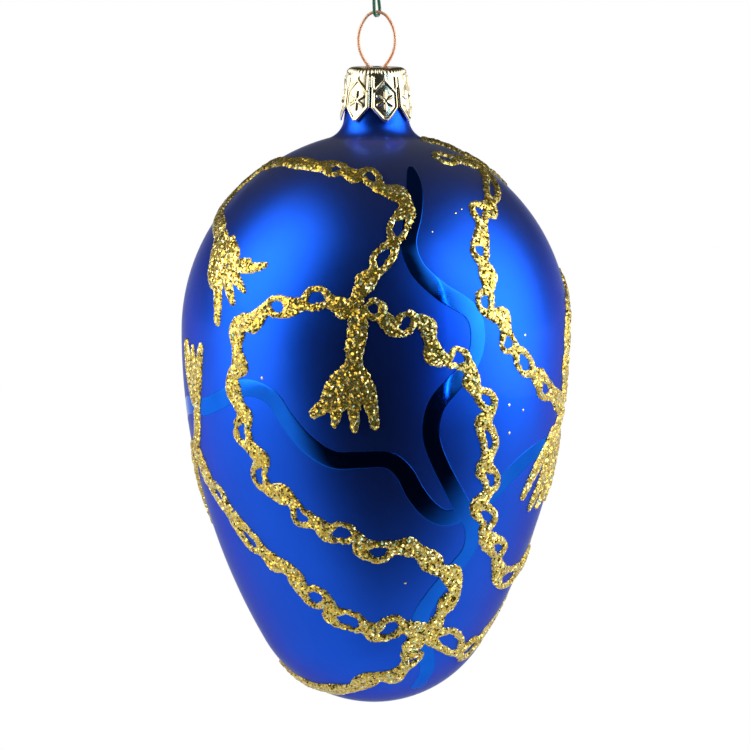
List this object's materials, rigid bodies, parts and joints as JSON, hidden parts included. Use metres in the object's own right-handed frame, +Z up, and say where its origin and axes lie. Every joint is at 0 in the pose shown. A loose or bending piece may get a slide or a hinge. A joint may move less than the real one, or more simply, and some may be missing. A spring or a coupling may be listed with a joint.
{
  "type": "hanging glass egg ornament",
  "caption": "Hollow egg-shaped glass ornament with a stamped leaf cap, wire loop and wire hook, trimmed with raised glitter ropes, tassels and glossy waves.",
  "frame": {"origin": "inside of the hook's upper bend, where a branch or a rod carries the ornament", "axes": "+Z up along the egg's axis, -Y out of the decorated front, +X to the right seen from the front"},
  "size_m": [0.0707, 0.0717, 0.1487],
  "materials": {
    "hook_enamel": "green enamelled steel wire",
    "copper_wire": "bright copper coloured wire",
    "gold_cap": "bright pale gold stamped sheet",
    "blue_glass": "silvered inside, satin blue lacquer outside",
    "gloss_lacquer": "clear glossy lacquer over the blue",
    "gold_glitter": "gold glitter flakes set in glue"
  },
  "bodies": {
    "hook": {"green_hook": "hook_enamel"},
    "hanger": {"hanger_wire": "copper_wire"},
    "cap": {"cap": "gold_cap"},
    "egg": {"glass_egg": "blue_glass", "gloss_girdle": "gloss_lacquer", "gloss_front_wave": "gloss_lacquer", "gloss_back_wave": "gloss_lacquer", "rope_top": "gold_glitter", "rope_left": "gold_glitter", "rope_right": "gold_glitter", "rope_low": "gold_glitter", "rope_foot": "gold_glitter", "rope_foot_right": "gold_glitter", "rope_side": "gold_glitter", "rope_edge": "gold_glitter", "rope_crown": "gold_glitter", "rope_back": "gold_glitter", "rope_back_low": "gold_glitter", "tassel_left": "gold_glitter", "tassel_front": "gold_glitter", "tassel_low": "gold_glitter", "tassel_right": "gold_glitter", "tassel_back": "gold_glitter", "tassel_back_left": "gold_glitter", "tassel_back_right": "gold_glitter"}
  },
  "joints": [
    {"name": "sway", "type": "hinge", "parent": "hook", "child": "hanger", "pos_m": [0, 0, -0.0237], "axis": [0.3256, 0.9455, 0], "range_deg": [-40, 40]},
    {"name": "spin", "type": "hinge", "parent": "hanger", "child": "cap", "pos_m": [0, 0, -0.03286], "axis": [0, 0, 1], "continuous": true},
    {"name": "egg_pull", "type": "slide", "parent": "cap", "child": "egg", "axis": [0, 0, -1], "range_m": [0, 0.018]}
  ]
}
